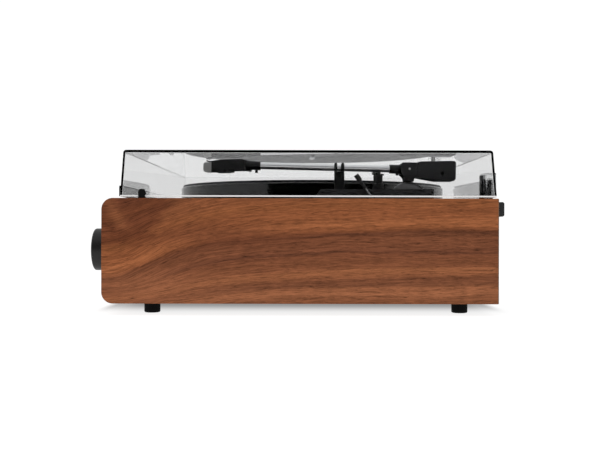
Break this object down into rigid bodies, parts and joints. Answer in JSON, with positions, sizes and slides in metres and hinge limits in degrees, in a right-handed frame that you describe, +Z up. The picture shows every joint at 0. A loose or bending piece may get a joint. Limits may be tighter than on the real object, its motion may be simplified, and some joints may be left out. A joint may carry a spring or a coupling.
{
  "type": "turntable record player",
  "caption": "Record player with a wooden plinth, belt-driven platter, pivoted tonearm with a lift, volume knob and a hinged clear dust cover.",
  "frame": {"origin": "centre of the footprint on the surface that the feet stand on", "axes": "+Z up, -Y towards the front with the volume knob, +X to the right-hand side with the tonearm"},
  "size_m": [0.404, 0.3796, 0.1465],
  "materials": {
    "walnut": "oiled walnut veneer, grain front to back, cathedral figure at the front",
    "deck_black": "fine-textured black lacquer",
    "fibreboard": "dark fibreboard",
    "pine": "bare softwood",
    "rubber": "matte black rubber",
    "mat_rubber": "ribbed soft rubber",
    "screw_steel": "zinc-plated",
    "housing_metal": "cast and plated",
    "brass": "turned",
    "white_plastic": "low-friction",
    "polished_steel": "ground and polished",
    "platter_black": "gloss black",
    "black_plastic": "moulded, fine texture",
    "arm_plastic": "matte black, fine texture",
    "arm_aluminium": "drawn and polished tube",
    "weight_iron": "turned",
    "head_plastic": "moulded black",
    "cartridge_plastic": "moulded black",
    "stylus_plastic": "pale grey",
    "lever_metal": "bright wire with a black sleeve",
    "knob_black": "satin black, turned",
    "pot_metal": "plated can",
    "lamp_lens": "tinted lens",
    "board_green": "solder mask",
    "components": "mixed packages",
    "clear_acrylic": "clear, polished, faint grey tint"
  },
  "bodies": {
    "root": {"side_panel_left": "walnut", "side_panel_right": "walnut", "front_panel": "walnut", "top_deck": "deck_black", "rear_panel": "deck_black", "bottom_cover": "fibreboard", "corner_blocks": "pine", "case_screws": "screw_steel", "rubber_feet": "rubber", "bearing_housing": "housing_metal", "bearing_bush": "brass", "thrust_pad": "white_plastic", "motor_can": "housing_metal", "motor_plate": "housing_metal", "motor_grommets": "rubber", "drive_belt": "rubber", "machine_screws": "screw_steel", "arm_platform": "black_plastic", "pivot_base": "black_plastic", "arm_bearing": "brass", "arm_rest": "black_plastic", "cue_column": "black_plastic", "volume_pot": "pot_metal", "speed_switch": "black_plastic", "power_led": "lamp_lens", "main_board": "board_green", "board_components": "components", "jack_plate": "black_plastic", "power_jacks": "black_plastic", "phono_sockets": "brass", "hinge_bases": "black_plastic", "hinge_pins": "polished_steel", "hinge_screws": "screw_steel"},
    "platter": {"platter": "platter_black", "spindle": "polished_steel", "slipmat": "mat_rubber"},
    "motor_rotor": {"motor_rotor": "polished_steel", "motor_pulley": "brass"},
    "arm_swivel": {"arm_yoke": "arm_plastic", "arm_post": "polished_steel", "pivot_screws": "screw_steel"},
    "tonearm": {"arm_tube": "arm_aluminium", "gimbal_block": "arm_plastic", "tail_housing": "arm_plastic", "counterweight": "weight_iron", "tail_screw": "head_plastic", "headshell_collar": "head_plastic", "headshell": "head_plastic", "cartridge": "cartridge_plastic", "stylus": "stylus_plastic", "finger_lift": "head_plastic"},
    "cue_lift": {"cue_lift": "black_plastic"},
    "cue_lever": {"cue_lever": "lever_metal"},
    "volume_knob": {"volume_knob": "knob_black"},
    "speed_knob": {"speed_knob": "knob_black"},
    "dust_cover": {"dust_cover": "clear_acrylic", "hinge_arms": "black_plastic", "cover_bumpers": "rubber"}
  },
  "joints": [
    {"name": "platter_spin", "type": "hinge", "parent": "root", "child": "platter", "pos_m": [-0.038, 0.013, 0.1075], "axis": [0, 0, -1], "continuous": true},
    {"name": "motor_spin", "type": "hinge", "parent": "root", "child": "motor_rotor", "pos_m": [-0.12851, 0.10351, 0.1], "axis": [0, 0, -1], "continuous": true},
    {"name": "arm_swing", "type": "hinge", "parent": "root", "child": "arm_swivel", "pos_m": [0.126, 0.1043, 0.134], "axis": [0, 0, -1], "range_deg": [0, 41]},
    {"name": "arm_pitch", "type": "hinge", "parent": "arm_swivel", "child": "tonearm", "pos_m": [0.126, 0.1043, 0.134], "axis": [1, 0, 0], "range_deg": [0, 1.35]},
    {"name": "cue_lift_slide", "type": "slide", "parent": "root", "child": "cue_lift", "axis": [0, 0, -1], "range_m": [0, 0.001]},
    {"name": "cue_lever_hinge", "type": "hinge", "parent": "root", "child": "cue_lever", "pos_m": [0.1588, 0.066, 0.1061], "axis": [1, 0, 0], "range_deg": [0, 40]},
    {"name": "lid_hinge", "type": "hinge", "parent": "root", "child": "dust_cover", "pos_m": [0, 0.1826, 0.0946], "axis": [-1, 0, 0], "range_deg": [0, 70]},
    {"name": "volume_turn", "type": "hinge", "parent": "root", "child": "volume_knob", "pos_m": [0.155, -0.182, 0.057], "axis": [0, 1, 0], "range_deg": [0, 300]},
    {"name": "speed_turn", "type": "hinge", "parent": "root", "child": "speed_knob", "pos_m": [-0.16, -0.118, 0.104], "axis": [0, 0, -1], "range_deg": [0, 60]}
  ],
  "couplings": [
    {"joint": "motor_spin", "follows": "platter_spin", "ratio": 16.522},
    {"joint": "cue_lift_slide", "follows": "arm_pitch", "m_per_rad": 0.0424},
    {"joint": "cue_lever_hinge", "follows": "arm_pitch", "ratio": 29.6}
  ]
}
